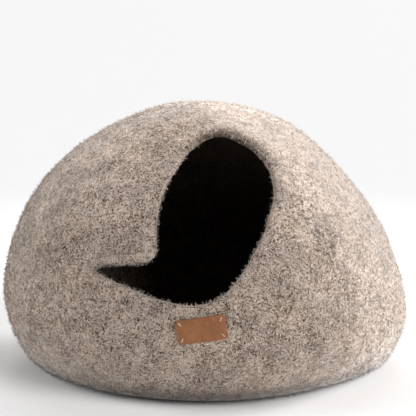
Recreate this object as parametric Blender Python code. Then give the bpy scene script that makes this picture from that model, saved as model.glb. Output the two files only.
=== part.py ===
"""Felt cat cave: one seamless wool shell with a leaning mouth, and a small leather label.

Metres, +Z up, front towards -Y. The floor is z = 0 and the cave stands centred on the origin.
"""
import math

import bpy
import numpy as np

# The body's outer face, measured from a point inside it, BODY_CENTRE_Z above the floor
HALF_WIDTH = 0.2475         # along X
HALF_DEPTH = 0.238          # along Y
CROWN_RISE = 0.226          # from the centre to the top
BELLY_DROP = 0.155          # from the centre down to where the round form would end
BELLY_ROUNDNESS = 2.1       # 2 is an ellipse, more is boxier
BODY_CENTRE_Z = 0.104
FLOOR_BLEND = 0.014         # height over which the round form eases into the flat base

FELT_THICKNESS = 0.009
RIM_STEPS = 5               # facets across the felted-round edge of the mouth

# Soft hollows (-) and swells (+) of the felt: (name, azimuth, elevation, spread in degrees, depth in mm)
# Azimuth 0 is the front and turns towards +X, seen from the body's centre
UNEVENNESS = [
    ("right flank", 75, 30, 35, -26),
    ("left shoulder", -75, 48, 20, -3),
    ("left foot", -80, -25, 25, 10),
    ("right foot", 82, -22, 22, 21),
    ("right haunch", 100, 8, 24, 3),
    ("hollow by the mouth", -18, 52, 13, -5),
    ("flap", -33, 28, 15, 6),
    ("groove over the flap's edge", -26, 20.5, 5, -3),
    ("hollow right of the mouth", 30, 26, 9, -4),
    ("fold right of the mouth", 33, 35, 7, 3),
    ("crown dip", 46, 70, 12, -3),
    ("pressed lip", -18, 4, 17, -7),
    ("back left", -140, 25, 28, -7),
    ("back right", 155, 45, 24, 6),
]

# The mouth lies in a leaning plane: its height above the floor, how far the plane leans back,
# and its outline in that plane, seen from the body's centre: (name, across, along in mm)
MOUTH_PLANE_Y = -0.236
MOUTH_PLANE_Z = 0.129
MOUTH_LEAN = math.radians(38)
MOUTH_OUTLINE = [
    ("apex", 20, 225),
    ("right brow", 51, 210),
    ("right shoulder", 73, 180),
    ("right side", 76.5, 141),
    ("right hip", 66.5, 94),
    ("right knee", 52.5, 64),
    ("right foot", 34, 32),
    ("lip right", 13, 7.5),
    ("lip middle", -15, -1),
    ("lip left", -50, 4),
    ("slit floor", -86, 17),
    ("slit floor's end", -114, 30),
    ("slit end", -136, 43),
    ("slit roof's end", -120, 51.5),
    ("slit roof", -90, 53),
    ("flap edge", -64, 53.5),
    ("flap corner", -54.5, 58.5),
    ("flap side", -50.5, 68),
    ("left foot", -50, 83),
    ("left side", -46, 114),
    ("left shoulder", -35, 155),
    ("left brow", -14, 196.5),
]
MOUTH_SAMPLES = 88          # points round the mouth, and columns of the shell
STAR_ACROSS = 0.000         # the shell's columns fan out from this point in the mouth's plane
STAR_ALONG = 0.026

RING_COUNT = 22             # rings from the mouth to the far side
RING_CROWDING = 1.35        # more crowds the rings towards the mouth
UNTWIST_SHARE = 0.45        # share of the way over which the columns even out
LAST_RING = 0.955           # where the last ring lies, as a share of the way to the far pole

# The leather label, sewn on below the mouth's lip
LABEL_WIDTH = 0.056
LABEL_HEIGHT = 0.028
LABEL_THICKNESS = 0.0016
LABEL_CORNER = 0.0035
LABEL_GAP = 0.0005          # air between leather and felt
LABEL_X = -0.0045
LABEL_Z = 0.1020
LABEL_TURN = math.radians(9)
LABEL_COLUMNS = 12          # between its rounded ends
LABEL_ROWS = 8
CORNER_STEPS = 4

FELT_COLOUR = (0.50, 0.41, 0.35)
LEATHER_COLOUR = (0.323, 0.127, 0.049)

CENTRE = np.array([0.0, 0.0, BODY_CENTRE_Z])


def remove_all_objects():
    for obj in list(bpy.data.objects):
        bpy.data.objects.remove(obj, do_unlink=True)


def unit(vectors):
    return vectors / np.linalg.norm(vectors, axis=-1, keepdims=True)


def direction(azimuth, elevation):
    """The way from the centre to a point, with azimuth 0 at the front."""
    return np.array([math.sin(azimuth) * math.cos(elevation),
                     -math.cos(azimuth) * math.cos(elevation),
                     math.sin(elevation)])


def outer_point(ways):
    """Where rays from the centre leave the felt's outer face. ways is an array of unit rows."""
    flat = np.hypot(ways[:, 0] / HALF_WIDTH, ways[:, 1] / HALF_DEPTH)
    rise = np.abs(ways[:, 2])
    crown = (flat ** 2 + (rise / CROWN_RISE) ** 2) ** -0.5
    n = BELLY_ROUNDNESS
    belly = (flat ** n + (rise / BELLY_DROP) ** n) ** (-1 / n)
    reach = np.where(ways[:, 2] >= 0, crown, belly)
    for name, azimuth, elevation, spread, depth_mm in UNEVENNESS:
        middle = direction(math.radians(azimuth), math.radians(elevation))
        angle = np.degrees(np.arccos(np.clip(ways @ middle, -1, 1)))
        reach = reach + depth_mm / 1000 * np.exp(-(angle / spread) ** 2)
    points = CENTRE + ways * reach[:, None]
    z = points[:, 2]
    eased = np.where(z < -FLOOR_BLEND, 0.0, (z + FLOOR_BLEND) ** 2 / (4 * FLOOR_BLEND))
    points[:, 2] = np.where(z > FLOOR_BLEND, z, eased)
    return points


def side_ways(ways):
    """Two unit rows square to each way and to each other."""
    helper = np.where(np.abs(ways[:, 2:3]) < 0.9, [[0.0, 0.0, 1.0]], [[1.0, 0.0, 0.0]])
    first = unit(np.cross(helper, ways))
    return first, np.cross(ways, first)


def outer_normal(ways, step=0.01):
    """The outer face's normal, from the slope between close neighbours."""
    first, second = side_ways(ways)
    slope_one = outer_point(unit(ways + step * first)) - outer_point(unit(ways - step * first))
    slope_two = outer_point(unit(ways + step * second)) - outer_point(unit(ways - step * second))
    return unit(np.cross(slope_one, slope_two))


def mouth_way(across, along):
    """The way from the centre through a point of the mouth's leaning plane."""
    up = np.array([0.0, math.sin(MOUTH_LEAN), math.cos(MOUTH_LEAN)])
    foot = np.array([0.0, MOUTH_PLANE_Y, MOUTH_PLANE_Z])
    point = foot + up * np.asarray(along)[..., None]
    point = point + np.array([1.0, 0.0, 0.0]) * np.asarray(across)[..., None]
    return unit(point - CENTRE)


def between(low, high, t, first, second):
    """Straight blend from first, at low, to second, at high."""
    return (first * (high - t) + second * (t - low)) / (high - low)


def closed_curve(points, steps=24):
    """A smooth closed curve through the points (centripetal Catmull-Rom)."""
    count = len(points)
    curve = []
    for i in range(count):
        p = [points[(i + k - 1) % count] for k in range(4)]
        knots = [0.0]
        for a, b in zip(p, p[1:]):
            knots.append(knots[-1] + np.linalg.norm(b - a) ** 0.5)
        for t in np.linspace(knots[1], knots[2], steps, endpoint=False):
            lines = [between(knots[k], knots[k + 1], t, p[k], p[k + 1]) for k in range(3)]
            bends = [between(knots[k], knots[k + 2], t, lines[k], lines[k + 1]) for k in range(2)]
            curve.append(between(knots[1], knots[2], t, bends[0], bends[1]))
    return np.array(curve)


def even_samples(curve, count):
    """Points at even distances round a closed curve."""
    closed = np.vstack([curve, curve[:1]])
    lengths = np.linalg.norm(np.diff(closed, axis=0), axis=1)
    along = np.concatenate([[0.0], np.cumsum(lengths)])
    wanted = np.linspace(0.0, along[-1], count, endpoint=False)
    return np.column_stack([np.interp(wanted, along, closed[:, k]) for k in range(closed.shape[1])])


def mouth_edge():
    """The felt's edge round the mouth: the ways to it, and its own way on into the mouth."""
    table = np.array([[across, along] for name, across, along in MOUTH_OUTLINE]) / 1000
    outline = even_samples(closed_curve(table), MOUTH_SAMPLES)
    ways = mouth_way(outline[:, 0], outline[:, 1])
    middle = outer_point(ways) - outer_normal(ways) * FELT_THICKNESS / 2
    tangent = unit(np.roll(middle, -1, axis=0) - np.roll(middle, 1, axis=0))
    inward = unit(np.cross(tangent, outer_normal(ways)))
    star = outer_point(mouth_way(np.array([STAR_ACROSS]), np.array([STAR_ALONG])))
    if np.sum(inward * (star - middle)) < 0:
        inward = -inward
    seat = middle - inward * FELT_THICKNESS / 2
    return unit(seat - CENTRE), inward


def shell_rings(edge_ways):
    """Ways for each ring of the shell, from the mouth's edge round to the far side."""
    pole = mouth_way(np.array([STAR_ACROSS]), np.array([STAR_ALONG]))[0]
    right = unit(np.cross([0.0, 0.0, 1.0], -pole))
    up = np.cross(-pole, right)
    up = up if up[2] > 0 else -up
    tilt = np.arccos(edge_ways @ pole)
    turn = np.unwrap(np.arctan2(edge_ways @ up, edge_ways @ right))
    even = turn.mean() + np.sign(turn[-1] - turn[0]) * (
        np.arange(len(turn)) - (len(turn) - 1) / 2) * 2 * math.pi / len(turn)
    rings = []
    for ring in range(RING_COUNT):
        share = ring / (RING_COUNT - 1)
        tilts = tilt + (math.pi - tilt) * LAST_RING * share ** RING_CROWDING
        blend = min(share / UNTWIST_SHARE, 1.0)
        turns = turn + (even - turn) * blend * blend * (3 - 2 * blend)
        rings.append(np.cos(tilts)[:, None] * pole
                     + np.sin(tilts)[:, None] * (np.cos(turns)[:, None] * right
                                                 + np.sin(turns)[:, None] * up))
    return rings, -pole


def fuller_halves(points, corners):
    """Two triangles for four corners, split along the diagonal that bulges further out."""
    a, b, c, d = corners
    middles = (points[[a, b]] + points[[c, d]]) / 2
    first, second = np.linalg.norm(middles - CENTRE, axis=1)
    return [(a, b, c), (a, c, d)] if first > second else [(a, b, d), (b, c, d)]


def felt_points_and_faces():
    """The shell: outer rings, round rim and inner rings, closed by a fan at each far pole."""
    edge_ways, inward = mouth_edge()
    rings, far_pole = shell_rings(edge_ways)
    outer = [outer_point(ring) for ring in rings]
    inner = [face - outer_normal(ring) * FELT_THICKNESS for face, ring in zip(outer, rings)]
    normal = outer_normal(edge_ways)
    middle = outer[0] - normal * FELT_THICKNESS / 2
    rim = []
    for step in range(1, RIM_STEPS):
        angle = math.pi / 2 - math.pi * step / RIM_STEPS
        rim.append(middle + FELT_THICKNESS / 2 * (math.sin(angle) * normal
                                                  + math.cos(angle) * inward))
    loops = outer[::-1] + rim + inner
    pole_ways = far_pole[None, :]
    outer_pole = outer_point(pole_ways)
    inner_pole = outer_pole - outer_normal(pole_ways) * FELT_THICKNESS
    points = np.vstack(loops + [outer_pole, inner_pole])
    count = MOUTH_SAMPLES
    last = (len(loops) - 1) * count
    outer_tip, inner_tip = len(points) - 2, len(points) - 1
    faces = []
    for row in range(len(loops) - 1):
        for i in range(count):
            j = (i + 1) % count
            faces += fuller_halves(points, (row * count + j, row * count + i,
                                            (row + 1) * count + i, (row + 1) * count + j))
    for i in range(count):
        j = (i + 1) % count
        faces.append((i, j, outer_tip))
        faces.append((last + j, last + i, inner_tip))
    return points, faces


def label_point(u, v, height):
    """A point of the label, u and v from its middle, lying height above the felt."""
    across = u * math.cos(LABEL_TURN) - v * math.sin(LABEL_TURN)
    along = u * math.sin(LABEL_TURN) + v * math.cos(LABEL_TURN)
    azimuth = (LABEL_X + across) / HALF_DEPTH
    elevation = (LABEL_Z - BODY_CENTRE_Z + along) / HALF_DEPTH
    way = direction(azimuth, elevation)[None, :]
    return outer_point(way)[0] + outer_normal(way)[0] * height


def label_points_and_faces():
    """A thin plate with rounded corners, bent over the felt."""
    half = LABEL_WIDTH / 2
    straight = half - LABEL_CORNER
    corner = [straight + LABEL_CORNER * math.sin(math.pi / 2 * step / CORNER_STEPS)
              for step in range(1, CORNER_STEPS + 1)]
    columns = [-u for u in reversed(corner)]
    columns += list(np.linspace(-straight, straight, LABEL_COLUMNS)) + corner
    points = []
    for height in (LABEL_GAP, LABEL_GAP + LABEL_THICKNESS):
        for u in columns:
            into_corner = max(abs(u) - straight, 0.0)
            cut = LABEL_CORNER - math.sqrt(max(LABEL_CORNER ** 2 - into_corner ** 2, 0.0))
            reach = LABEL_HEIGHT / 2 - cut
            for v in np.linspace(-reach, reach, LABEL_ROWS):
                points.append(label_point(u, v, height))
    rows, sheet = LABEL_ROWS, len(columns) * LABEL_ROWS
    faces = []
    for i in range(len(columns) - 1):
        for k in range(rows - 1):
            a, b = i * rows + k, (i + 1) * rows + k
            c, d = b + 1, a + 1
            faces.append((a, d, c, b))
            faces.append((a + sheet, b + sheet, c + sheet, d + sheet))
    border = [i * rows for i in range(len(columns))]
    border += [(len(columns) - 1) * rows + k for k in range(1, rows)]
    border += [i * rows + rows - 1 for i in reversed(range(len(columns) - 1))]
    border += [k for k in reversed(range(1, rows - 1))]
    for a, b in zip(border, border[1:] + border[:1]):
        faces.append((a, b, b + sheet, a + sheet))
    return np.array(points), faces


def material(name, colour, roughness):
    mat = bpy.data.materials.new(name)
    mat.use_nodes = True
    shader = mat.node_tree.nodes["Principled BSDF"]
    shader.inputs["Base Color"].default_value = (*colour, 1.0)
    shader.inputs["Roughness"].default_value = roughness
    shader.inputs["Metallic"].default_value = 0.0
    return mat


def add_object(name, points, faces, mat):
    mesh = bpy.data.meshes.new(name)
    mesh.from_pydata([tuple(p) for p in points], [], faces)
    mesh.update()
    for polygon in mesh.polygons:
        polygon.use_smooth = True
    mesh.materials.append(mat)
    bpy.context.scene.collection.objects.link(bpy.data.objects.new(name, mesh))


def build():
    remove_all_objects()
    felt_points, felt_faces = felt_points_and_faces()
    label_points, label_faces = label_points_and_faces()
    both = np.vstack([felt_points, label_points])
    shift = (both.min(axis=0) + both.max(axis=0)) / 2 * [1, 1, 0]
    add_object("felt_shell", felt_points - shift, felt_faces,
               material("wool_felt", FELT_COLOUR, 0.95))
    add_object("leather_label", label_points - shift, label_faces,
               material("brown_leather", LEATHER_COLOUR, 0.55))


build()
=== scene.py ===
import math

import bpy
import numpy as np
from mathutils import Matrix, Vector, noise


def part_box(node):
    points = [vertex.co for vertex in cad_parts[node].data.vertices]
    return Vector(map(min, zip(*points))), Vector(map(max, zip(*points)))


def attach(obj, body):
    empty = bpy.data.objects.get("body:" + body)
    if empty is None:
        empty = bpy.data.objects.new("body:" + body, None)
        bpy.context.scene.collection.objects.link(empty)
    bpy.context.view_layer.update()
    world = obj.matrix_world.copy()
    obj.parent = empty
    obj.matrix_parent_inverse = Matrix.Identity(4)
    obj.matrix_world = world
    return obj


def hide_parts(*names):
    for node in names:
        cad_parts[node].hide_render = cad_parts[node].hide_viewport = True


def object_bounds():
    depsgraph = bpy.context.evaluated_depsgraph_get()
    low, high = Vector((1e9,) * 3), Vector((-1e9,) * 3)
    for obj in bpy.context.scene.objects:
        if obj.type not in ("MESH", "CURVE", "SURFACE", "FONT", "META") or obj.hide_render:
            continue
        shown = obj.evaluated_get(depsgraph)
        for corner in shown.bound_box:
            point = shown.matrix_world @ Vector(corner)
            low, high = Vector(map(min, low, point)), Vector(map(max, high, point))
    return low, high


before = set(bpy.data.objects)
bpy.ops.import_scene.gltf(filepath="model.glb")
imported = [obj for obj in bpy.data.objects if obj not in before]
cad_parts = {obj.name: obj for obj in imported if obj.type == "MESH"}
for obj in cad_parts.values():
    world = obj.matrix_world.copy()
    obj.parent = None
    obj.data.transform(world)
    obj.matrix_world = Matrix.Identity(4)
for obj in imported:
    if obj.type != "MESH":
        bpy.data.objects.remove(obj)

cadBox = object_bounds()
cadLow, cadHigh = (np.array(corner) for corner in cadBox)
cadHeight = cadHigh[2] - cadLow[2]
print("frame loaded: %.3f x %.3f x %.3f m" % tuple(cadHigh - cadLow))

# camera: in front of the mouth, looking a little down on the cave

cameraSettings = {
    "distance": 1.8,
    "elevation": math.radians(10),
    "lens": 124.3,          # mm, on a 36 mm sensor
    "aimRight": 0.0032,
    "aimHeight": 0.6,       # share of the cave's height
}


def addCamera(settings):
    aim = Vector((settings["aimRight"], 0, settings["aimHeight"] * cadHeight))
    back = Vector((0, -math.cos(settings["elevation"]), math.sin(settings["elevation"])))
    data = bpy.data.cameras.new("camera")
    data.lens = settings["lens"]
    data.sensor_width = 36
    camera = bpy.data.objects.new("camera", data)
    bpy.context.scene.collection.objects.link(camera)
    camera.location = aim + back * settings["distance"]
    camera.rotation_euler = (-back).to_track_quat("-Z", "Y").to_euler()
    bpy.context.scene.camera = camera


addCamera(cameraSettings)
print("camera ready")

# small helpers for node trees and meshes


def addNode(tree, kind, inputs=None, **settings):
    made = tree.nodes.new(kind)
    made.location = (190 * (len(tree.nodes) % 12), -240 * (len(tree.nodes) // 12))
    for key, value in settings.items():
        setattr(made, key, value)
    for key, value in (inputs or {}).items():
        if isinstance(value, bpy.types.NodeSocket):
            tree.links.new(value, made.inputs[key])
        else:
            made.inputs[key].default_value = value
    return made


def maths(tree, operation, *values):
    return addNode(tree, "ShaderNodeMath", dict(enumerate(values)), operation=operation).outputs[0]


def vectorMaths(tree, operation, *values):
    made = addNode(tree, "ShaderNodeVectorMath", dict(enumerate(values)), operation=operation)
    return made.outputs["Value" if operation in ("LENGTH", "DOT_PRODUCT") else "Vector"]


def noiseValue(tree, place, scale, detail=2.0, roughness=0.5, distortion=0.0, which=0):
    made = addNode(tree, "ShaderNodeTexNoise", {
        "Vector": place, "Scale": scale, "Detail": detail,
        "Roughness": roughness, "Distortion": distortion})
    return made.outputs[which]


def rescale(tree, value, low, high, newLow=0.0, newHigh=1.0, smooth=False):
    made = addNode(tree, "ShaderNodeMapRange", {
        0: value, 1: low, 2: high, 3: newLow, 4: newHigh})
    made.interpolation_type = "SMOOTHSTEP" if smooth else "LINEAR"
    return made.outputs[0]


def mixColour(tree, share, first, second, blend="MIX"):
    made = addNode(tree, "ShaderNodeMix", data_type="RGBA", blend_type=blend)
    for index, value in ((0, share), (6, first), (7, second)):
        if isinstance(value, bpy.types.NodeSocket):
            tree.links.new(value, made.inputs[index])
        else:
            made.inputs[index].default_value = value
    return made.outputs[2]


def newMaterial(name):
    material = bpy.data.materials.new(name)
    material.use_nodes = True
    tree = material.node_tree
    return material, tree, tree.nodes["Principled BSDF"]


def newPiece(name, points, faces, material):
    mesh = bpy.data.meshes.new(name)
    mesh.from_pydata(np.asarray(points).tolist(), [], faces)
    mesh.polygons.foreach_set("use_smooth", [True] * len(mesh.polygons))
    mesh.materials.append(material)
    mesh.update()
    piece = bpy.data.objects.new(name, mesh)
    bpy.context.scene.collection.objects.link(piece)
    return piece


def readPoints(mesh):
    points = np.empty(len(mesh.vertices) * 3)
    mesh.vertices.foreach_get("co", points)
    return points.reshape(-1, 3)


def readValues(mesh, name):
    values = np.empty(len(mesh.vertices), np.float32)
    mesh.attributes[name].data.foreach_get("value", values)
    return values


def storeValue(piece, name, values):
    layer = piece.data.attributes.get(name) or piece.data.attributes.new(name, "FLOAT", "POINT")
    layer.data.foreach_set("value", np.asarray(values, np.float32))


def unit(vectors):
    return vectors / np.linalg.norm(vectors, axis=-1, keepdims=True)


# the felt's form, the same rule as the frame's shell, with finer unevenness on top

feltForm = {
    "halfWidth": 0.2475,
    "halfDepth": 0.238,
    "crownRise": 0.226,     # centre to top
    "bellyDrop": 0.155,     # centre to where the round form would end
    "bellyRoundness": 2.1,
    "centreZ": 0.104,
    "floorBlend": 0.014,
    "thickness": 0.009,
    "columns": 400,
    "outerRings": 118,
    "innerRings": 42,
    "rimSteps": 10,
    "rimSquareness": 0.5,   # 1 is a round edge, less is squarer
    "flatBase": 0.002,      # lower than this the felt lies flat, without lumps
    "baseFade": 0.02,
    "innerLumps": 0.7,      # the inside's lumps, next to the outside's
    "outerShift": 3.7,      # another number gives other lumps
    "innerShift": 9.1,
}

# name, azimuth, elevation and spread in degrees, depth in mm; azimuth 0 is the front, + to the right
feltUnevenness = [
    ("right flank", 75, 30, 35, -26),
    ("left shoulder", -75, 48, 20, -3),
    ("left foot", -80, -25, 25, 10),
    ("right foot", 82, -22, 22, 21),
    ("right haunch", 100, 8, 24, 3),
    ("hollow by the mouth", -18, 52, 13, -5),
    ("flap", -33, 28, 15, 6),
    ("groove over the flap's edge", -26, 20.5, 5, -3),
    ("hollow right of the mouth", 30, 26, 9, -4),
    ("fold right of the mouth", 33, 35, 7, 3),
    ("crown dip", 46, 70, 12, -3),
    ("pressed lip", -18, 4, 17, -7),
    ("back left", -140, 25, 28, -7),
    ("back right", 155, 45, 24, 6),
]

mouthPlane = {"y": -0.236, "z": 0.129, "lean": math.radians(38), "starAlong": 0.026}

# name, across and along in mm, in the mouth's leaning plane
mouthOutline = [
    ("apex", 20, 225),
    ("right brow", 51, 210),
    ("right shoulder", 73, 180),
    ("right side", 76.5, 141),
    ("right hip", 66.5, 94),
    ("right knee", 52.5, 64),
    ("right foot", 34, 32),
    ("lip right", 13, 7.5),
    ("lip middle", -15, -1),
    ("lip left", -50, 4),
    ("slit floor", -86, 17),
    ("slit floor's end", -114, 30),
    ("slit end", -136, 43),
    ("slit roof's end", -120, 51.5),
    ("slit roof", -90, 53),
    ("flap edge", -64, 53.5),
    ("flap corner", -54.5, 58.5),
    ("flap side", -50.5, 68),
    ("left foot", -50, 83),
    ("left side", -46, 114),
    ("left shoulder", -35, 155),
    ("left brow", -14, 196.5),
]

# name, azimuth and elevation of both ends in degrees, width and depth in mm
feltCreases = [
    ("crease high on the left", -55, 42, -30, 35, 7, -1.8),
    ("crease beside the brow", -20, 58, -19, 41, 8, -1.6),
    ("fold at the mouth's right edge", 22, 31.5, 36, 33, 6, 1.5),
    ("hollow under the fold", 22, 26, 38, 28, 8, -1.6),
    ("groove above the flap's edge", -31, 20.5, -19, 20.5, 5, -1.6),
    ("soft crease along the belly", -8, -15, 42, -18, 15, -3.0),
    ("swell above it", 0, -6, 34, -9, 18, 3.0),
    ("crease at the left haunch", -64, 14, -46, 2, 9, -1.2),
    ("crease on the back", 150, 30, 178, 18, 10, -1.6),
    ("crease low on the back", -150, 2, -118, -8, 10, -1.4),
]

# size and height in mm of the wool's own lumps
feltLumps = [(85, 2.4), (34, 1.1), (14, 0.55), (7, 0.25)]

centre = np.array([0.0, 0.0, feltForm["centreZ"]])


def wayTo(azimuth, elevation):
    a, e = math.radians(azimuth), math.radians(elevation)
    return np.array([math.sin(a) * math.cos(e), -math.cos(a) * math.cos(e), math.sin(e)])


def outerPoint(ways):
    form = feltForm
    flat = np.hypot(ways[:, 0] / form["halfWidth"], ways[:, 1] / form["halfDepth"])
    rise = np.abs(ways[:, 2])
    crown = (flat ** 2 + (rise / form["crownRise"]) ** 2) ** -0.5
    n = form["bellyRoundness"]
    belly = (flat ** n + (rise / form["bellyDrop"]) ** n) ** (-1 / n)
    reach = np.where(ways[:, 2] >= 0, crown, belly)
    for name, azimuth, elevation, spread, depth in feltUnevenness:
        angle = np.degrees(np.arccos(np.clip(ways @ wayTo(azimuth, elevation), -1, 1)))
        reach = reach + depth / 1000 * np.exp(-(angle / spread) ** 2)
    points = centre + ways * reach[:, None]
    z, blend = points[:, 2], form["floorBlend"]
    eased = np.where(z < -blend, 0.0, (z + blend) ** 2 / (4 * blend))
    points[:, 2] = np.where(z > blend, z, eased)
    return points


def outerNormal(ways, step=0.01):
    helper = np.where(np.abs(ways[:, 2:3]) < 0.9, [[0.0, 0.0, 1.0]], [[1.0, 0.0, 0.0]])
    first = unit(np.cross(helper, ways))
    second = np.cross(ways, first)
    slopes = [outerPoint(unit(ways + step * side)) - outerPoint(unit(ways - step * side))
              for side in (first, second)]
    return unit(np.cross(*slopes))


def mouthWay(across, along):
    lean = mouthPlane["lean"]
    up = np.array([0.0, math.sin(lean), math.cos(lean)])
    point = np.array([0.0, mouthPlane["y"], mouthPlane["z"]]) + np.asarray(along)[..., None] * up
    return unit(point + np.asarray(across)[..., None] * np.array([1.0, 0.0, 0.0]) - centre)


def between(low, high, t, first, second):
    return (first * (high - t) + second * (t - low)) / (high - low)


def closedCurve(points, steps=24):       # centripetal Catmull-Rom through the points
    count = len(points)
    curve = []
    for i in range(count):
        p = [points[(i + k - 1) % count] for k in range(4)]
        knots = [0.0]
        for a, b in zip(p, p[1:]):
            knots.append(knots[-1] + np.linalg.norm(b - a) ** 0.5)
        for t in np.linspace(knots[1], knots[2], steps, endpoint=False):
            lines = [between(knots[k], knots[k + 1], t, p[k], p[k + 1]) for k in range(3)]
            bends = [between(knots[k], knots[k + 2], t, lines[k], lines[k + 1]) for k in range(2)]
            curve.append(between(knots[1], knots[2], t, bends[0], bends[1]))
    return np.array(curve)


def evenSamples(curve, count):
    closed = np.vstack([curve, curve[:1]])
    along = np.concatenate([[0.0], np.cumsum(np.linalg.norm(np.diff(closed, axis=0), axis=1))])
    wanted = np.linspace(0.0, along[-1], count, endpoint=False)
    return np.column_stack([np.interp(wanted, along, closed[:, k]) for k in range(closed.shape[1])])


def mouthEdge(count):
    table = np.array([[across, along] for name, across, along in mouthOutline]) / 1000
    outline = evenSamples(closedCurve(table), count)
    ways = mouthWay(outline[:, 0], outline[:, 1])
    middle = outerPoint(ways) - outerNormal(ways) * feltForm["thickness"] / 2
    tangent = unit(np.roll(middle, -1, axis=0) - np.roll(middle, 1, axis=0))
    inward = unit(np.cross(tangent, outerNormal(ways)))
    star = outerPoint(mouthWay([0.0], [mouthPlane["starAlong"]]))
    if np.sum(inward * (star - middle)) < 0:
        inward = -inward
    seat = middle - inward * feltForm["thickness"] / 2
    return unit(seat - centre), inward, outline


# rings from the mouth's edge to the pole behind it, closer together near the edge
def shellRings(edgeWays, count, lastRing=0.985, crowding=1.3, untwist=0.45):
    pole = mouthWay([0.0], [mouthPlane["starAlong"]])[0]
    right = unit(np.cross([0.0, 0.0, 1.0], -pole))
    up = np.cross(pole, -right)
    up = up * np.sign(up[2])
    tilt = np.arccos(edgeWays @ pole)
    turn = np.unwrap(np.arctan2(edgeWays @ up, edgeWays @ right))
    steps = np.arange(len(turn)) - (len(turn) - 1) / 2
    even = turn.mean() + np.sign(turn[-1] - turn[0]) * steps * 2 * math.pi / len(turn)
    rings, fromEdge = [], []
    for ring in range(count):
        share = ring / (count - 1)
        tilts = tilt + (math.pi - tilt) * lastRing * share ** crowding
        blend = min(share / untwist, 1.0)
        turns = turn + (even - turn) * blend * blend * (3 - 2 * blend)
        side = np.cos(turns)[:, None] * right + np.sin(turns)[:, None] * up
        rings.append(np.cos(tilts)[:, None] * pole + np.sin(tilts)[:, None] * side)
        fromEdge.append((tilts - tilt) * feltForm["halfWidth"])
    return rings, fromEdge, -pole


def lumps(points, shift):
    height = np.zeros(len(points))
    for size, amount in feltLumps:
        spots = points / (size / 1000) + shift
        height += amount / 1000 * np.array([noise.noise(Vector(spot)) for spot in spots])
    return height


def creases(ways):
    height = np.zeros(len(ways))
    for name, azA, elA, azB, elB, width, depth in feltCreases:
        start, end = wayTo(azA, elA), wayTo(azB, elB)
        run = end - start
        along = np.clip((ways - start) @ run / (run @ run), 0, 1)
        away = np.linalg.norm(ways - start - along[:, None] * run, axis=1) * feltForm["halfWidth"]
        fade = 0.35 + 0.65 * np.sin(math.pi * np.clip(along, 0.08, 0.92))      # shallower at its ends
        height += depth / 1000 * fade * np.exp(-(away / (width / 1000)) ** 2)
    return height


# how the cut edge is felted over, in metres: tucked in at the mouth's top, a soft roll all round,
# and a fuller roll with a groove behind it on the flap
edgeRoll = {
    "tuck": 0.0042,
    "tuckWidth": 0.0075,
    "roll": 0.0007,
    "flapRoll": 0.0024,
    "groove": 0.0016,
    "rollAt": 0.005,
    "grooveAt": 0.0165,
    "width": 0.006,
    "flapMiddle": (-0.088, 0.053),      # across and along the mouth's plane
    "flapReach": (0.040, 0.012),
    "crownStart": 0.165,                # from here up the mouth's top turns in
    "crownFade": 0.045,
    "browStart": 0.085,                 # and its sides, less so
    "browFade": 0.060,
}

# how far the mouth's edge changes the wool's colour and fibres, in metres: painted shade along the top of
# the cut edge and its brow, and a painted highlight on the flap's roll with painted shade in its groove
edgeMarks = {
    "fibreReach": 0.012,
    "rollBand": (0.0035, 0.0045),       # distance from the edge, and spread
    "grooveBand": (0.0135, 0.0035),
    "crownShade": 0.0075,
    "browShade": 0.019,
    "browStrength": 0.34,
}


def bell(distance, spread, middle=0.0):
    return np.exp(-((distance - middle) / spread) ** 2)


def rollOver(fromEdge, flap, crown):
    settings = edgeRoll
    tuck = crown * settings["tuck"] * bell(fromEdge, settings["tuckWidth"])
    roll = settings["roll"] + flap * settings["flapRoll"]
    bulge = roll * bell(fromEdge, settings["width"], settings["rollAt"])
    groove = flap * settings["groove"] * bell(fromEdge, settings["width"], settings["grooveAt"])
    return bulge - groove - tuck


def shiftToFrame(step=1.5):      # the frame centres the whole cave, so the rule's own points move by this
    turns, rises = np.meshgrid(np.radians(np.arange(0, 360, step)), np.radians(np.arange(-40, 91, step)))
    flat = np.cos(rises)
    ways = np.column_stack([way.ravel() for way in (
        np.sin(turns) * flat, -np.cos(turns) * flat, np.sin(rises))])
    plain = outerPoint(ways)
    low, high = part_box("felt_shell")
    shift = (np.array(low) + np.array(high)) / 2 - (plain.min(axis=0) + plain.max(axis=0)) / 2
    return shift * [1, 1, 0]


frameShift = shiftToFrame()
print("shift to the frame: %.4f %.4f" % (frameShift[0], frameShift[1]))


def edgeParts(outline):      # how far each point of the mouth's edge is part of the flap, crown and brow
    fromFlap = (outline - edgeRoll["flapMiddle"]) / edgeRoll["flapReach"]
    flap = np.exp(-fromFlap[:, 0] ** 4 - fromFlap[:, 1] ** 2)
    crown = np.clip((outline[:, 1] - edgeRoll["crownStart"]) / edgeRoll["crownFade"], 0, 1)
    brow = np.clip((outline[:, 1] - edgeRoll["browStart"]) / edgeRoll["browFade"], 0, 1)
    return flap, crown, brow


def markEdge(shell, away, outside, flap, crown, brow):      # what the wool's colour and fibres read, the painted shade and the painted light on the roll among them
    repeats = len(away) // len(flap)

    def allRound(values):      # the same for each ring, and none at the two poles
        return np.concatenate([np.tile(values, repeats), [0, 0]])

    rollAt, rollSpread = edgeMarks["rollBand"]
    grooveAt, grooveSpread = edgeMarks["grooveBand"]
    # painted highlight on the flap's roll, painted shade in the groove behind it
    paintedRollBand = bell(away, rollSpread, rollAt) - bell(away, grooveSpread, grooveAt)
    # painted shade at the top of the cut edge, fainter along its brow
    shade = np.maximum(bell(away, edgeMarks["crownShade"]) * allRound(crown),
                       bell(away, edgeMarks["browShade"]) * allRound(brow) * edgeMarks["browStrength"])
    storeValue(shell, "outside", outside)
    storeValue(shell, "mouthNear", np.exp(-away / edgeMarks["fibreReach"]))
    storeValue(shell, "edgeShade", shade)
    storeValue(shell, "roll", paintedRollBand * allRound(flap) * (outside > 0.5))


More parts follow.
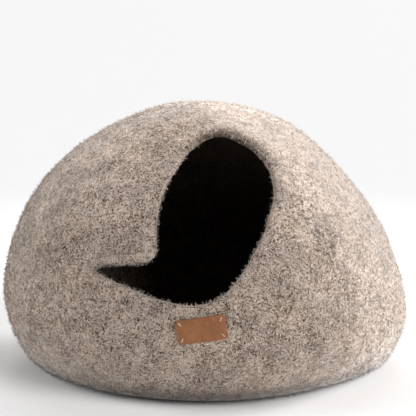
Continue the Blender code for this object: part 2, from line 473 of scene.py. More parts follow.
def makeShell(material):
    form = feltForm
    edgeWays, inward, outline = mouthEdge(form["columns"])
    flap, crown, brow = edgeParts(outline)
    outerRings, fromEdge, farPole = shellRings(edgeWays, form["outerRings"])
    innerRings, innerFrom, farPole = shellRings(edgeWays, form["innerRings"])
    outer = []
    for ring, away in zip(outerRings, fromEdge):
        base = outerPoint(ring)
        lift = lumps(base, form["outerShift"]) + creases(ring) + rollOver(away, flap, crown)
        grounded = np.clip((base[:, 2] - form["flatBase"]) / form["baseFade"], 0, 1)
        outer.append(base + outerNormal(ring) * (lift * grounded)[:, None])
    inner = []
    for ring, away in zip(innerRings, innerFrom):
        lift = lumps(outerPoint(ring), form["innerShift"]) * form["innerLumps"]
        lift = lift * np.clip(away / form["baseFade"], 0, 1)
        inner.append(outerPoint(ring) - outerNormal(ring) * (form["thickness"] + lift)[:, None])
    normal = outerNormal(edgeWays)
    middle = (outer[0] + inner[0]) / 2
    half = np.linalg.norm(outer[0] - inner[0], axis=1)[:, None] / 2
    rim = []
    for step in range(1, form["rimSteps"]):
        angle = math.pi / 2 - math.pi * step / form["rimSteps"]
        up, out = math.sin(angle), math.cos(angle) ** form["rimSquareness"]
        up = math.copysign(abs(up) ** form["rimSquareness"], up)
        rim.append(middle + half * (up * normal + out * inward))
    loops = outer[::-1] + rim + inner
    outerPole = outerPoint(farPole[None, :])
    innerPole = outerPole - outerNormal(farPole[None, :]) * form["thickness"]
    points = np.vstack(loops + [outerPole, innerPole])
    points = points + frameShift
    count, last = form["columns"], (len(loops) - 1) * form["columns"]
    i = np.arange(count)
    j = (i + 1) % count
    faces = []
    for row in range(len(loops) - 1):
        near, far = row * count, (row + 1) * count
        faces += np.column_stack([near + j, near + i, far + i, far + j]).tolist()
    faces += np.column_stack([i, j, np.full(count, len(points) - 2)]).tolist()
    faces += np.column_stack([last + j, last + i, np.full(count, len(points) - 1)]).tolist()
    shell = newPiece("felt_wool", points, faces, material)
    outside = np.concatenate([np.ones(len(outer) * count), np.repeat(np.linspace(1, 0, len(rim)), count),
                              np.zeros(len(inner) * count), [1, 0]])
    away = np.concatenate(fromEdge[::-1] + [np.zeros(len(rim) * count)] + innerFrom + [[1, 1]])
    markEdge(shell, away, outside, flap, crown, brow)
    return shell


# wool: mottled undyed fibres

woolSettings = {
    "dark": (0.095, 0.059, 0.037, 1),
    "middle": (0.36, 0.254, 0.192, 1),
    "light": (1.0, 0.880, 0.770, 1),
    "contrast": 0.030,                    # less is harder
    "flecksPerMetre": 600,
    "curlsPerMetre": 330,
    "curlWidth": 0.060,
    "lightCurls": 0.90,                   # how strongly single light and dark fibres show
    "darkCurls": 0.50,
    "patchesPerMetre": 38,
    "patchWeight": 0.34,
    "clumpsPerMetre": 150,
    "clumpWeight": 0.28,
    "rollLightAndShade": 0.060,                  # painted highlight on the flap's roll, painted shade in its groove
    "warp": 0.006,                        # how far the flecks are bent, in metres
    "warpsPerMetre": 160,
    "warm": (1.07, 1.03, 0.985, 1),       # slow drift between two tints
    "cool": (0.90, 0.885, 0.895, 1),
    "tintsPerMetre": 22,
    "inside": (0.42, 0.40, 0.38, 1),      # painted shade: the wool inside is multiplied by this
    "edge": (0.30, 0.28, 0.26, 1),        # and at the top of the cut edge by this, a painted shade
    "washedOutWool": (0.41, 0.340, 0.302, 1),  # high on the right the wool is painted less mottled, standing in for the strong light washing out its pattern
    "washoutShare": 0.62,
    "roughness": (0.88, 1.0),
    "bump": 0.0001,
}

# which way the wool is painted less mottled, as the strong light washes out its pattern there, from where,
# and over what distance, in metres
washedOutSide = {"towards": (1.0, 0.6, 0.9), "start": 0.22, "fade": 0.12}

# painted light and shade by height: the wool is painted lighter towards the crown and darker by the floor
# as a painted contact shadow, with the heights where they meet, in metres
paintedHeightShading = {
    "crown": (0.88, 0.852, 0.838, 1),
    "foot": (0.56, 0.535, 0.515, 1),
    "floor": (0.12, 0.100, 0.090, 1),
    "crownFrom": 0.19,
    "crownTo": 0.330,
    "floorFrom": 0.006,
    "floorTo": 0.032,
    "drift": 0.10,                        # how far the crown's border wanders
    "driftsPerMetre": 12,
}


def wander(tree, place, perMetre, weight, detail=4, roughness=0.62):      # noise round zero
    wave = noiseValue(tree, place, perMetre, detail, roughness)
    return maths(tree, "MULTIPLY", maths(tree, "SUBTRACT", wave, 0.5), weight)


def paintShadingByHeight(tree, place, colour):      # painted light towards the crown, painted shadow by the floor
    tints = paintedHeightShading
    height = addNode(tree, "ShaderNodeSeparateXYZ", {0: place}).outputs["Z"]
    drift = wander(tree, place, tints["driftsPerMetre"], tints["drift"], 2, 0.5)
    share = rescale(tree, maths(tree, "ADD", height, drift), tints["crownFrom"], tints["crownTo"])
    tint = mixColour(tree, share, tints["foot"], tints["crown"])
    # painted contact shadow: the wool is darker in the lowest 3 cm, by the floor
    floorShadowShare = rescale(tree, height, tints["floorFrom"], tints["floorTo"], 1, 0, True)
    tint = mixColour(tree, floorShadowShare, tint, tints["floor"])
    return mixColour(tree, 1.0, colour, tint, "MULTIPLY")


def curlLines(tree, place, scale, shift):      # thin winding lines, like single curled fibres
    moved = vectorMaths(tree, "ADD", place, (shift, shift * 1.7, -shift))
    wave = noiseValue(tree, moved, scale, 1.0, 0.5, 0.5)
    ridge = maths(tree, "ABSOLUTE", maths(tree, "SUBTRACT", wave, 0.5))
    return rescale(tree, ridge, 0.0, woolSettings["curlWidth"], 1, 0, True)


def attributeValue(tree, name):
    return addNode(tree, "ShaderNodeAttribute", attribute_name=name).outputs["Fac"]


def woolMaterial(settings):
    material, tree, shader = newMaterial("woolFelt")
    place = addNode(tree, "ShaderNodeTexCoord").outputs["Object"]
    warp = noiseValue(tree, place, settings["warpsPerMetre"], 2, which=1)
    warp = vectorMaths(tree, "SUBTRACT", warp, (0.5, 0.5, 0.5))
    bent = vectorMaths(tree, "ADD", place, vectorMaths(tree, "MULTIPLY", warp, [settings["warp"]] * 3))
    fleck = noiseValue(tree, bent, settings["flecksPerMetre"], 2.5, 0.7, 0.3)
    patch = wander(tree, place, settings["patchesPerMetre"], settings["patchWeight"])
    clump = wander(tree, place, settings["clumpsPerMetre"], settings["clumpWeight"], 3, 0.6)
    roll = maths(tree, "MULTIPLY", attributeValue(tree, "roll"), settings["rollLightAndShade"])
    tone = fleck
    for change in (patch, clump, roll):
        tone = maths(tree, "ADD", tone, change)
    ramp = addNode(tree, "ShaderNodeValToRGB", {"Fac": tone})
    stops = ramp.color_ramp.elements
    stops[0].position, stops[0].color = 0.5 - settings["contrast"], settings["dark"]
    stops[1].position, stops[1].color = 0.5 + settings["contrast"], settings["light"]
    stops.new(0.5).color = settings["middle"]
    colour = ramp.outputs["Color"]
    lightCurl = curlLines(tree, bent, settings["curlsPerMetre"], 0.0)
    darkCurl = curlLines(tree, bent, settings["curlsPerMetre"] * 1.25, 5.3)
    for curl, strength, fibre in ((darkCurl, "darkCurls", "dark"), (lightCurl, "lightCurls", "light")):
        colour = mixColour(tree, maths(tree, "MULTIPLY", curl, settings[strength]), colour, settings[fibre])
    # painted light: high on the right the wool is mixed towards one even tone, as the strong light washes
    # out its mottle
    towardsRight = vectorMaths(tree, "DOT_PRODUCT", place, washedOutSide["towards"])
    washoutShare = rescale(tree, towardsRight, washedOutSide["start"], washedOutSide["start"] + washedOutSide["fade"],
                        0, settings["washoutShare"])
    colour = mixColour(tree, washoutShare, colour, settings["washedOutWool"])
    drift = rescale(tree, noiseValue(tree, place, settings["tintsPerMetre"], 3), 0.35, 0.65)
    tint = mixColour(tree, drift, settings["warm"], settings["cool"])
    colour = mixColour(tree, 1.0, colour, tint, "MULTIPLY")
    # painted shade: the inside, and the cut edge part of the way round, are darkened for the cave's dark
    # inside
    outside = maths(tree, "POWER", attributeValue(tree, "outside"), 0.6)
    shade = mixColour(tree, outside, settings["inside"], (1, 1, 1, 1))
    colour = mixColour(tree, 1.0, colour, shade, "MULTIPLY")
    # painted shade along the top of the mouth's edge and its brow
    shaded = mixColour(tree, 1.0, colour, settings["edge"], "MULTIPLY")
    colour = mixColour(tree, attributeValue(tree, "edgeShade"), colour, shaded)
    tree.links.new(paintShadingByHeight(tree, place, colour), shader.inputs["Base Color"])
    curls = maths(tree, "MULTIPLY", maths(tree, "SUBTRACT", lightCurl, darkCurl), 0.25)
    bump = addNode(tree, "ShaderNodeBump", {
        "Height": maths(tree, "ADD", fleck, curls), "Strength": 1.0, "Distance": settings["bump"]})
    tree.links.new(bump.outputs[0], shader.inputs["Normal"])
    tree.links.new(rescale(tree, fleck, 0.3, 0.7, *settings["roughness"]), shader.inputs["Roughness"])
    shader.inputs["Specular IOR Level"].default_value = 0.12
    shader.inputs["Sheen Weight"].default_value = 1.0
    shader.inputs["Sheen Roughness"].default_value = 0.38
    shader.inputs["Sheen Tint"].default_value = (1, 0.93, 0.88, 1)
    return material


felt = makeShell(woolMaterial(woolSettings))
print("felt shell: %d faces" % len(felt.data.polygons))

# where the leather label sits: it follows the felt below the mouth

labelSettings = {
    "width": 0.056,
    "height": 0.028,
    "thickness": 0.0016,
    "corner": 0.0035,
    "gap": 0.0005,
    "x": -0.0045,
    "z": 0.1020,
    "turn": math.radians(9),
    "columns": 46,
    "rows": 26,
    "cornerSteps": 8,
    "edgeRound": 0.00035,
    "leather": (0.235, 0.086, 0.026, 1),
    "cutLeather": (0.60, 0.40, 0.29, 1),
    "darker": 0.62,         # the mottle's two tones, next to the leather's own
    "lighter": 1.45,
    "mottle": 0.45,
    "mottlesPerMetre": 120,
    "grainsPerMetre": 1500,
    "grainDepth": 0.0003,
}


def labelPoint(u, v, height):
    settings = labelSettings
    turn, reach = settings["turn"], feltForm["halfDepth"]
    across = u * math.cos(turn) - v * math.sin(turn)
    along = u * math.sin(turn) + v * math.cos(turn)
    azimuth = math.degrees((settings["x"] + across) / reach)
    elevation = math.degrees((settings["z"] - feltForm["centreZ"] + along) / reach)
    way = wayTo(azimuth, elevation)[None, :]
    return outerPoint(way)[0] + outerNormal(way)[0] * height


def labelPlace(points):          # where points of the felt lie on the label's own plane
    settings, reach = labelSettings, feltForm["halfDepth"]
    ways = unit(points - frameShift - centre)
    across = np.arctan2(ways[:, 0], -ways[:, 1]) * reach - settings["x"]
    along = np.arcsin(ways[:, 2]) * reach - (settings["z"] - feltForm["centreZ"])
    turn = settings["turn"]
    return (across * math.cos(turn) + along * math.sin(turn),
            along * math.cos(turn) - across * math.sin(turn))


# loose fibres, scattered over the felt with Geometry Nodes


def fibreTree(shortest=0.55, longest=1.35, endThickness=0.22, fullness=3.1):
    tree = bpy.data.node_groups.new("woolFibres", "GeometryNodeTree")
    sockets = [
        ("Geometry", "NodeSocketGeometry"),
        ("Density", "NodeSocketFloat"),         # fibres per square metre
        ("Length", "NodeSocketFloat"),
        ("Thickness", "NodeSocketFloat"),
        ("Bow", "NodeSocketFloat"),             # height of the arch, as a share of the length
        ("Sink", "NodeSocketFloat"),            # how deep the ends sit in the felt
        ("Tilt low", "NodeSocketFloat"),
        ("Tilt high", "NodeSocketFloat"),
        ("Curl", "NodeSocketFloat"),
        ("Curl size", "NodeSocketFloat"),
        ("Points", "NodeSocketInt"),
        ("Seed", "NodeSocketInt"),
        ("Material", "NodeSocketMaterial"),
    ]
    for name, kind in sockets:
        tree.interface.new_socket(name=name, in_out="INPUT", socket_type=kind)
    tree.interface.new_socket(name="Geometry", in_out="OUTPUT", socket_type="NodeSocketGeometry")
    given = addNode(tree, "NodeGroupInput").outputs

    cover = addNode(tree, "GeometryNodeInputNamedAttribute", {"Name": "cover"}).outputs["Attribute"]
    scatter = addNode(tree, "GeometryNodeDistributePointsOnFaces", {
        "Mesh": given["Geometry"], "Density": maths(tree, "MULTIPLY", given["Density"], cover),
        "Seed": given["Seed"]}, distribute_method="RANDOM")

    line = addNode(tree, "GeometryNodeCurvePrimitiveLine", {"Start": (-0.5, 0, 0), "End": (0.5, 0, 0)})
    spaced = addNode(tree, "GeometryNodeResampleCurve", {0: line.outputs[0], "Count": given["Points"]})
    along = addNode(tree, "GeometryNodeSplineParameter").outputs["Factor"]
    arch = maths(tree, "MULTIPLY", maths(tree, "MULTIPLY", along, maths(tree, "SUBTRACT", 1.0, along)),
                 maths(tree, "MULTIPLY", given["Bow"], 4.0))
    archOffset = addNode(tree, "ShaderNodeCombineXYZ", {"Z": arch}).outputs[0]
    bowed = addNode(tree, "GeometryNodeSetPosition", {
        "Geometry": spaced.outputs[0], "Offset": archOffset}).outputs[0]

    def randomValue(low, high, seed):
        made = addNode(tree, "FunctionNodeRandomValue", {2: low, 3: high, "Seed": seed}, data_type="FLOAT")
        return made.outputs[1]

    spin = addNode(tree, "FunctionNodeAxisAngleToRotation", {
        "Axis": (0, 0, 1), "Angle": randomValue(0.0, 2 * math.pi, 11)}).outputs[0]
    lean = addNode(tree, "FunctionNodeAxisAngleToRotation", {
        "Axis": (0, 1, 0), "Angle": randomValue(given["Tilt low"], given["Tilt high"], 12)}).outputs[0]
    turned = scatter.outputs["Rotation"]
    for step in (spin, lean):
        turned = addNode(tree, "FunctionNodeRotateRotation", {
            "Rotation": turned, "Rotate By": step}, rotation_space="LOCAL").outputs[0]
    length = maths(tree, "MULTIPLY", given["Length"], randomValue(shortest, longest, 13))
    placed = addNode(tree, "GeometryNodeInstanceOnPoints", {
        "Points": scatter.outputs["Points"], "Instance": bowed, "Rotation": turned, "Scale": length})
    shaded = addNode(tree, "GeometryNodeStoreNamedAttribute", {
        "Geometry": placed.outputs[0], "Name": "shade", "Value": randomValue(0.0, 1.0, 14)},
        data_type="FLOAT", domain="INSTANCE")
    normal = addNode(tree, "GeometryNodeStoreNamedAttribute", {
        "Geometry": shaded.outputs[0], "Name": "out",
        "Value": addNode(tree, "FunctionNodeRotateVector", {
            "Vector": (0, 0, 1), "Rotation": addNode(tree, "GeometryNodeInputInstanceRotation").outputs[0]
        }).outputs[0]}, data_type="FLOAT_VECTOR", domain="INSTANCE")
    loose = addNode(tree, "GeometryNodeRealizeInstances", {0: normal.outputs[0]}).outputs[0]

    place = addNode(tree, "GeometryNodeInputPosition").outputs[0]
    wave = noiseValue(tree, place, maths(tree, "DIVIDE", 1.0, given["Curl size"]), 1.0, which=1)
    curl = vectorMaths(tree, "SCALE", vectorMaths(tree, "SUBTRACT", wave, (0.5, 0.5, 0.5)))
    tree.links.new(given["Curl"], curl.node.inputs["Scale"])
    out = addNode(tree, "GeometryNodeInputNamedAttribute", {"Name": "out"}, data_type="FLOAT_VECTOR")
    down = vectorMaths(tree, "SCALE", out.outputs["Attribute"])
    tree.links.new(maths(tree, "MULTIPLY", given["Sink"], -1.0), down.node.inputs["Scale"])
    curled = addNode(tree, "GeometryNodeSetPosition", {
        "Geometry": loose, "Offset": vectorMaths(tree, "ADD", curl, down)}).outputs[0]

    middle = maths(tree, "MULTIPLY", along, maths(tree, "SUBTRACT", 1.0, along))
    taper = maths(tree, "ADD", endThickness, maths(tree, "MULTIPLY", fullness, middle))
    radius = maths(tree, "MULTIPLY", maths(tree, "MULTIPLY", given["Thickness"], 0.5), taper)
    profile = addNode(tree, "GeometryNodeCurvePrimitiveCircle", {"Resolution": 3, "Radius": 1.0})
    solid = addNode(tree, "GeometryNodeCurveToMesh", {
        "Curve": curled, "Profile Curve": profile.outputs[0], "Scale": radius,
        "Fill Caps": True}).outputs[0]
    real = addNode(tree, "GeometryNodeRealizeInstances", {0: solid}).outputs[0]
    finished = addNode(tree, "GeometryNodeSetMaterial", {
        "Geometry": real, "Material": given["Material"]}).outputs[0]
    addNode(tree, "NodeGroupOutput", {0: finished})
    return tree


def signedVolume(mesh):
    mesh.calc_loop_triangles()
    corners = np.empty(len(mesh.loop_triangles) * 3, int)
    mesh.loop_triangles.foreach_get("vertices", corners)
    a, b, c = readPoints(mesh)[corners.reshape(-1, 3)].transpose(1, 0, 2)
    return np.sum(a * np.cross(b, c)) / 6


def meshFromNodes(base, tree, settings, name):
    worker = bpy.data.objects.new("worker", base)
    bpy.context.scene.collection.objects.link(worker)
    modifier = worker.modifiers.new("nodes", "NODES")
    modifier.node_group = tree
    identifiers = {item.name: item.identifier for item in tree.interface.items_tree
                   if item.in_out == "INPUT"}
    for key, value in settings.items():
        modifier[identifiers[key]] = value
    ready = worker.evaluated_get(bpy.context.evaluated_depsgraph_get())
    mesh = bpy.data.meshes.new_from_object(ready)
    bpy.data.objects.remove(worker)
    mesh.name = name
    return mesh


def outwardPiece(name, mesh):
    if signedVolume(mesh) < 0:
        mesh.flip_normals()
    piece = bpy.data.objects.new(name, mesh)
    bpy.context.scene.collection.objects.link(piece)
    return piece


def growFibres(name, tree, settings, material):
    mesh = meshFromNodes(felt.data, tree, {**settings, "Material": material}, name)
    used = [layer.name for layer in mesh.attributes]
    for spare in ("out", "cover", "outside", "mouthNear", "id"):
        if spare in used:
            mesh.attributes.remove(mesh.attributes[spare])
    piece = outwardPiece(name, mesh)
    mesh.calc_loop_triangles()
    print("%s: %d triangles" % (name, len(mesh.loop_triangles)))
    return piece


def fibreMaterial(name, colours, patchesPerMetre=900, patchWeight=0.6):
    material, tree, shader = newMaterial(name)
    place = addNode(tree, "ShaderNodeTexCoord").outputs["Object"]
    patch = noiseValue(tree, place, patchesPerMetre, 2)
    change = maths(tree, "MULTIPLY", maths(tree, "SUBTRACT", patch, 0.5), patchWeight)
    tone = maths(tree, "ADD", attributeValue(tree, "shade"), change)
    ramp = addNode(tree, "ShaderNodeValToRGB", {"Fac": tone})
    stops = ramp.color_ramp.elements
    stops[0].color, stops[1].color = colours[0], colours[-1]
    for index, colour in enumerate(colours[1:-1]):
        stops.new((index + 1) / (len(colours) - 1)).color = colour
    # the fibres get the same painted light towards the crown and painted shadow by the floor
    tree.links.new(paintShadingByHeight(tree, place, ramp.outputs["Color"]), shader.inputs["Base Color"])
    tree.links.new(rescale(tree, patch, 0.3, 0.7, 0.80, 0.95), shader.inputs["Roughness"])
    shader.inputs["Specular IOR Level"].default_value = 0.2
    shader.inputs["Sheen Weight"].default_value = 0.8
    shader.inputs["Sheen Roughness"].default_value = 0.5
    return material


# where fibres lie: not inside, by the floor or under the label, and fewer where the cut edge is painted
# darkest, so that painted shade stays dark
coverSettings = {
    "edgeStop": 0.3,        # higher ends them earlier on their way round the cut edge
    "floorClear": 0.003,
    "floorFade": 0.006,
    "lessAtEdge": 0.8,
}


def coverFelt(shell, overEdge, atMouth=0.0, lessRight=0.0):
    rules = coverSettings
    points = readPoints(shell.data)
    outside, near, edge = (readValues(shell.data, name) for name in ("outside", "mouthNear", "edgeShade"))
    cover = np.clip(outside * overEdge - rules["edgeStop"], 0, 1)
    cover = cover * np.clip((points[:, 2] - rules["floorClear"]) / rules["floorFade"], 0, 1)
    cover = cover * (1 + atMouth * near) * (1 - rules["lessAtEdge"] * edge)
    washoutShare = (points @ np.array(washedOutSide["towards"]) - washedOutSide["start"]) / washedOutSide["fade"]
    cover = cover * (1 - lessRight * np.clip(washoutShare, 0, 1))
    u, v = labelPlace(points)
    under = (np.abs(u) < labelSettings["width"] / 2) & (np.abs(v) < labelSettings["height"] / 2)
    storeValue(shell, "cover", np.where(under & (points[:, 1] < 0), 0, cover))


# lengths in metres, density in fibres per square metre, tilts in radians
fibreLayers = {
    "fibres_light": {
        "Density": 27000.0, "Length": 0.0066, "Thickness": 0.00078, "Bow": 0.06, "Sink": 0.00022,
        "Tilt low": -0.12, "Tilt high": 0.12, "Curl": 0.0060, "Curl size": 0.0036,
        "Points": 3, "Seed": 3},
    "fibres_dark": {
        "Density": 27000.0, "Length": 0.0060, "Thickness": 0.00074, "Bow": 0.06, "Sink": 0.00024,
        "Tilt low": -0.12, "Tilt high": 0.12, "Curl": 0.0055, "Curl size": 0.0034,
        "Points": 3, "Seed": 8},
    "fibres_middle": {
        "Density": 27000.0, "Length": 0.0066, "Thickness": 0.00078, "Bow": 0.06, "Sink": 0.00020,
        "Tilt low": -0.16, "Tilt high": 0.16, "Curl": 0.0070, "Curl size": 0.0042,
        "Points": 3, "Seed": 15},
    "fuzz": {
        "Density": 42000.0, "Length": 0.0060, "Thickness": 0.00200, "Bow": 0.0, "Sink": -0.0012,
        "Tilt low": -1.40, "Tilt high": -0.35, "Curl": 0.0045, "Curl size": 0.0038,
        "Points": 2, "Seed": 21},
}

# how far each layer reaches round the cut edge, where it thins out, and where more of it stands
fibreCover = {
    "fibres_light": {"overEdge": 1.3},
    # fewer dark and middle fibres high on the right, to go with the painted washed-out wool there
    "fibres_dark": {"overEdge": 2.4, "lessRight": 0.65},
    "fibres_middle": {"overEdge": 2.4, "lessRight": 0.3},
    "fuzz": {"overEdge": 2.4, "atMouth": 1.5},
}

fibreColours = {
    "fibres_light": [(0.66, 0.52, 0.42, 1), (0.90, 0.76, 0.65, 1), (1.0, 0.91, 0.82, 1)],
    "fibres_dark": [(0.085, 0.055, 0.037, 1), (0.150, 0.102, 0.072, 1), (0.26, 0.185, 0.138, 1)],
    "fibres_middle": [(0.24, 0.175, 0.133, 1), (0.56, 0.43, 0.345, 1), (0.92, 0.77, 0.65, 1)],
    "fuzz": [(0.55, 0.44, 0.36, 1), (0.82, 0.69, 0.59, 1), (0.98, 0.89, 0.80, 1)],
}

tree = fibreTree()
fibrePieces = []
for name, settings in fibreLayers.items():
    coverFelt(felt, **fibreCover[name])
    fibrePieces.append(growFibres(name, tree, settings, fibreMaterial(name, fibreColours[name])))

# the leather label and its corner stitches


def leatherMaterial(settings):
    material, tree, shader = newMaterial("brownLeather")
    place = addNode(tree, "ShaderNodeTexCoord").outputs["Object"]
    mottle = noiseValue(tree, place, settings["mottlesPerMetre"], 4, 0.6)
    grain = addNode(tree, "ShaderNodeTexVoronoi", {
        "Vector": place, "Scale": settings["grainsPerMetre"]}, feature="SMOOTH_F1").outputs["Distance"]
    fine = noiseValue(tree, place, settings["grainsPerMetre"] * 2.8, 3)
    leather = settings["leather"][:3]
    dark = [channel * settings["darker"] for channel in leather] + [1]
    light = [channel * settings["lighter"] + 0.02 for channel in leather] + [1]
    colour = mixColour(tree, rescale(tree, mottle, 0.3, 0.7), dark, light)
    colour = mixColour(tree, settings["mottle"], settings["leather"], colour)
    # the cut edge is lighter: partly the raw leather's own colour, partly a painted highlight for the lit
    # edge
    edge = maths(tree, "MULTIPLY", attributeValue(tree, "cutEdge"), 0.7)
    colour = mixColour(tree, edge, colour, settings["cutLeather"])
    tree.links.new(colour, shader.inputs["Base Color"])
    height = maths(tree, "ADD", grain, maths(tree, "MULTIPLY", fine, 0.35))
    bump = addNode(tree, "ShaderNodeBump", {
        "Height": height, "Strength": 0.5, "Distance": settings["grainDepth"]})
    tree.links.new(bump.outputs[0], shader.inputs["Normal"])
    tree.links.new(rescale(tree, mottle, 0.3, 0.7, 0.42, 0.60), shader.inputs["Roughness"])
    shader.inputs["Specular IOR Level"].default_value = 0.4
    return material


def makeLabel(settings):
    half, corner = settings["width"] / 2, settings["corner"]
    straight = half - corner
    ends = [straight + corner * math.sin(math.pi / 2 * step / settings["cornerSteps"])
            for step in range(1, settings["cornerSteps"] + 1)]
    columns = [-u for u in reversed(ends)] + list(np.linspace(-straight, straight, settings["columns"]))
    columns += ends
    points = []
    rows = settings["rows"]
    for height in (settings["gap"], settings["gap"] + settings["thickness"]):
        for u in columns:
            over = max(abs(u) - straight, 0.0)
            reach = settings["height"] / 2 - corner + math.sqrt(max(corner ** 2 - over ** 2, 0.0))
            for v in np.linspace(-reach, reach, rows):
                points.append(labelPoint(u, v, height))
    sheet = len(columns) * rows
    faces = []
    for i in range(len(columns) - 1):
        for k in range(rows - 1):
            a, b = i * rows + k, (i + 1) * rows + k
            faces.append((a, a + 1, b + 1, b))
            faces.append((a + sheet, b + sheet, b + 1 + sheet, a + 1 + sheet))
    border = [i * rows for i in range(len(columns))]
    border += [(len(columns) - 1) * rows + k for k in range(1, rows)]
    border += [i * rows + rows - 1 for i in reversed(range(len(columns) - 1))]
    border += [k for k in reversed(range(1, rows - 1))]
    for a, b in zip(border, border[1:] + border[:1]):
        faces.append((a, b, b + sheet, a + sheet))
    points = np.array(points) + frameShift
    label = newPiece("label_leather", points, faces, leatherMaterial(settings))
    onEdge = np.zeros(len(points))
    onEdge[border] = 1
    storeValue(label, "cutEdge", onEdge)
    bevel = label.modifiers.new("edge", "BEVEL")
    bevel.width, bevel.segments = settings["edgeRound"], 3
    bevel.limit_method, bevel.angle_limit = "ANGLE", math.radians(50)
    return label


stitchSettings = {
    "Inset": 0.0048,              # from the label's sides to the middle of each stitch
    "Length": 0.0046,
    "Thread": 0.00075,            # thickness of each of the two plies
    "Rise": 0.0008,
    "Twists": 3.0,
    "Slant": math.radians(58),
    "colour": (0.90, 0.78, 0.62, 1),
}


def stitchTree():
    tree = bpy.data.node_groups.new("cornerStitches", "GeometryNodeTree")
    for name in ("Width", "Height", "Inset", "Length", "Thread", "Rise", "Twists", "Slant"):
        tree.interface.new_socket(name=name, in_out="INPUT", socket_type="NodeSocketFloat")
    tree.interface.new_socket(name="Material", in_out="INPUT", socket_type="NodeSocketMaterial")
    tree.interface.new_socket(name="Geometry", in_out="OUTPUT", socket_type="NodeSocketGeometry")
    given = addNode(tree, "NodeGroupInput").outputs
    sides = [maths(tree, "SUBTRACT", given[name], maths(tree, "MULTIPLY", given["Inset"], 2.0))
             for name in ("Width", "Height")]
    corners = addNode(tree, "GeometryNodeMeshGrid", {
        "Size X": sides[0], "Size Y": sides[1], "Vertices X": 2, "Vertices Y": 2}).outputs[0]
    place = addNode(tree, "ShaderNodeSeparateXYZ", {
        0: addNode(tree, "GeometryNodeInputPosition").outputs[0]}).outputs
    corner = maths(tree, "MULTIPLY", *(maths(tree, "SIGN", place[index]) for index in (0, 1)))
    turn = addNode(tree, "ShaderNodeCombineXYZ", {
        "Z": maths(tree, "MULTIPLY", corner, given["Slant"])}).outputs[0]

    line = addNode(tree, "GeometryNodeCurvePrimitiveLine", {"Start": (-0.5, 0, 0), "End": (0.5, 0, 0)})
    spaced = addNode(tree, "GeometryNodeResampleCurve", {0: line.outputs[0], "Count": 18})
    along = addNode(tree, "GeometryNodeSplineParameter").outputs["Factor"]
    arch = maths(tree, "MULTIPLY", maths(tree, "MULTIPLY", along, maths(tree, "SUBTRACT", 1.0, along)), 4.0)
    arch = maths(tree, "MULTIPLY", maths(tree, "POWER", arch, 0.5), given["Rise"])
    stretched = addNode(tree, "ShaderNodeCombineXYZ", {
        "X": maths(tree, "MULTIPLY", maths(tree, "SUBTRACT", along, 0.5), given["Length"]), "Z": arch})
    laid = addNode(tree, "GeometryNodeSetPosition", {
        "Geometry": spaced.outputs[0], "Position": stretched.outputs[0]}).outputs[0]
    twisted = addNode(tree, "GeometryNodeSetCurveTilt", {
        "Curve": laid, "Tilt": maths(tree, "MULTIPLY", maths(
            tree, "MULTIPLY", along, given["Twists"]), 2 * math.pi)}).outputs[0]
    plies = addNode(tree, "GeometryNodeJoinGeometry")
    half = maths(tree, "MULTIPLY", given["Thread"], 0.5)
    circle = addNode(tree, "GeometryNodeCurvePrimitiveCircle", {"Resolution": 8, "Radius": half}).outputs[0]
    for side in (-0.9, 0.9):
        aside = addNode(tree, "ShaderNodeCombineXYZ", {"X": maths(tree, "MULTIPLY", half, side)}).outputs[0]
        ply = addNode(tree, "GeometryNodeTransform", {"Geometry": circle, "Translation": aside}).outputs[0]
        tree.links.new(ply, plies.inputs[0])
    thread = addNode(tree, "GeometryNodeCurveToMesh", {
        "Curve": twisted, "Profile Curve": plies.outputs[0], "Fill Caps": True}).outputs[0]
    placed = addNode(tree, "GeometryNodeInstanceOnPoints", {
        "Points": corners, "Instance": thread, "Rotation": turn}).outputs[0]
    real = addNode(tree, "GeometryNodeRealizeInstances", {0: placed}).outputs[0]
    finished = addNode(tree, "GeometryNodeSetMaterial", {
        "Geometry": real, "Material": given["Material"]}).outputs[0]
    addNode(tree, "NodeGroupOutput", {0: finished})
    return tree


def threadMaterial(colour):
    material, tree, shader = newMaterial("waxedThread")
    place = addNode(tree, "ShaderNodeTexCoord").outputs["Object"]
    fray = noiseValue(tree, place, 2600, 3, 0.6)
    dark = [channel * 0.6 for channel in colour[:3]] + [1]
    tree.links.new(mixColour(tree, rescale(tree, fray, 0.3, 0.7), dark, colour),
                   shader.inputs["Base Color"])
    bump = addNode(tree, "ShaderNodeBump", {"Height": fray, "Strength": 0.5, "Distance": 0.0002})
    tree.links.new(bump.outputs[0], shader.inputs["Normal"])
    tree.links.new(rescale(tree, fray, 0.3, 0.7, 0.45, 0.7), shader.inputs["Roughness"])
    shader.inputs["Sheen Weight"].default_value = 0.15
    return material


def makeStitches(settings):
    sizes = {"Width": labelSettings["width"], "Height": labelSettings["height"],
             "Material": threadMaterial(settings["colour"])}
    sizes.update({key: value for key, value in settings.items() if key != "colour"})
    start = newPiece("start", [(0, 0, 0)], [], sizes["Material"])
    mesh = meshFromNodes(start.data, stitchTree(), sizes, "label_stitches")
    bpy.data.objects.remove(start)
    top = labelSettings["gap"] + labelSettings["thickness"] - settings["Thread"] * 0.5
    laid = [labelPoint(u, v, top + height) for u, v, height in readPoints(mesh)]
    mesh.vertices.foreach_set("co", (np.array(laid) + frameShift).ravel())
    mesh.polygons.foreach_set("use_smooth", [True] * len(mesh.polygons))
    return outwardPiece("label_stitches", mesh)


label = makeLabel(labelSettings)
stitches = makeStitches(stitchSettings)
print("label and stitches: %d faces" % (len(label.data.polygons) + len(stitches.data.polygons)))


# floor, light and background

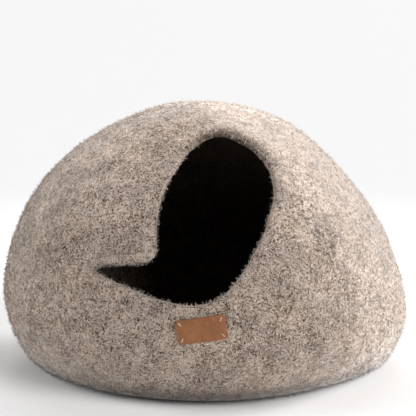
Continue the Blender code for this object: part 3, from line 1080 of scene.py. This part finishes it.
stageSettings = {
    "floor": (0.93, 0.93, 0.935, 1),
    "farFloor": (0.730, 0.730, 0.735, 1),
    "farFrom": 0.5,           # the floor is painted darker from here to there, a painted falloff of light away from the cave
    "farTo": 1.5,
    "floorRadius": 16,
    "floorSides": 96,
    "floorDrop": 0.0004,      # below the felt's base
    "skyStrength": 0.03,      # light that comes evenly from all round
}

# large soft lamps: name, azimuth and elevation in degrees, strength, width in degrees
softLamps = [
    ("right, a little behind", 121, 8, 8.4, 30),
    ("left", -92, 22, 2.35, 40),
    ("front right", 46, 30, 2.4, 40),
    ("back", 180, 60, 0.7, 40),
]


def makeStage(settings):
    material, tree, shader = newMaterial("paleFloor")
    place = addNode(tree, "ShaderNodeTexCoord").outputs["Object"]
    away = vectorMaths(tree, "LENGTH", place)
    share = rescale(tree, away, settings["farFrom"], settings["farTo"], 0, 1, True)
    floorFalloff = mixColour(tree, share, settings["floor"], settings["farFloor"])
    tree.links.new(floorFalloff, shader.inputs["Base Color"])
    shader.inputs["Roughness"].default_value = 0.9
    shader.inputs["Specular IOR Level"].default_value = 0.1
    sides = settings["floorSides"]
    turns = np.linspace(0, 2 * math.pi, sides, endpoint=False)
    rim = np.column_stack([np.cos(turns), np.sin(turns), np.zeros(sides)]) * settings["floorRadius"]
    rim[:, 2] = cadLow[2] - settings["floorDrop"]
    floor = newPiece("floor", rim, [list(range(sides))], material)
    for name, azimuth, elevation, strength, width in softLamps:
        data = bpy.data.lights.new(name, "SUN")
        data.energy, data.angle = strength, math.radians(width)
        lamp = bpy.data.objects.new(name, data)
        bpy.context.scene.collection.objects.link(lamp)
        lamp.rotation_euler = Vector(wayTo(azimuth, elevation)).to_track_quat("Z", "Y").to_euler()
    world = bpy.data.worlds.new("studio")
    bpy.context.scene.world = world
    world.use_nodes = True
    world.node_tree.nodes["Background"].inputs["Color"].default_value = (1, 1, 1, 1)
    world.node_tree.nodes["Background"].inputs["Strength"].default_value = settings["skyStrength"]
    bpy.context.scene.view_settings.view_transform = "Standard"


makeStage(stageSettings)
print("stage ready")

# what stands for what, and how it moves

for piece in [felt, label, stitches] + fibrePieces:
    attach(piece, "root")
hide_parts("felt_shell")
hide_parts("leather_label")
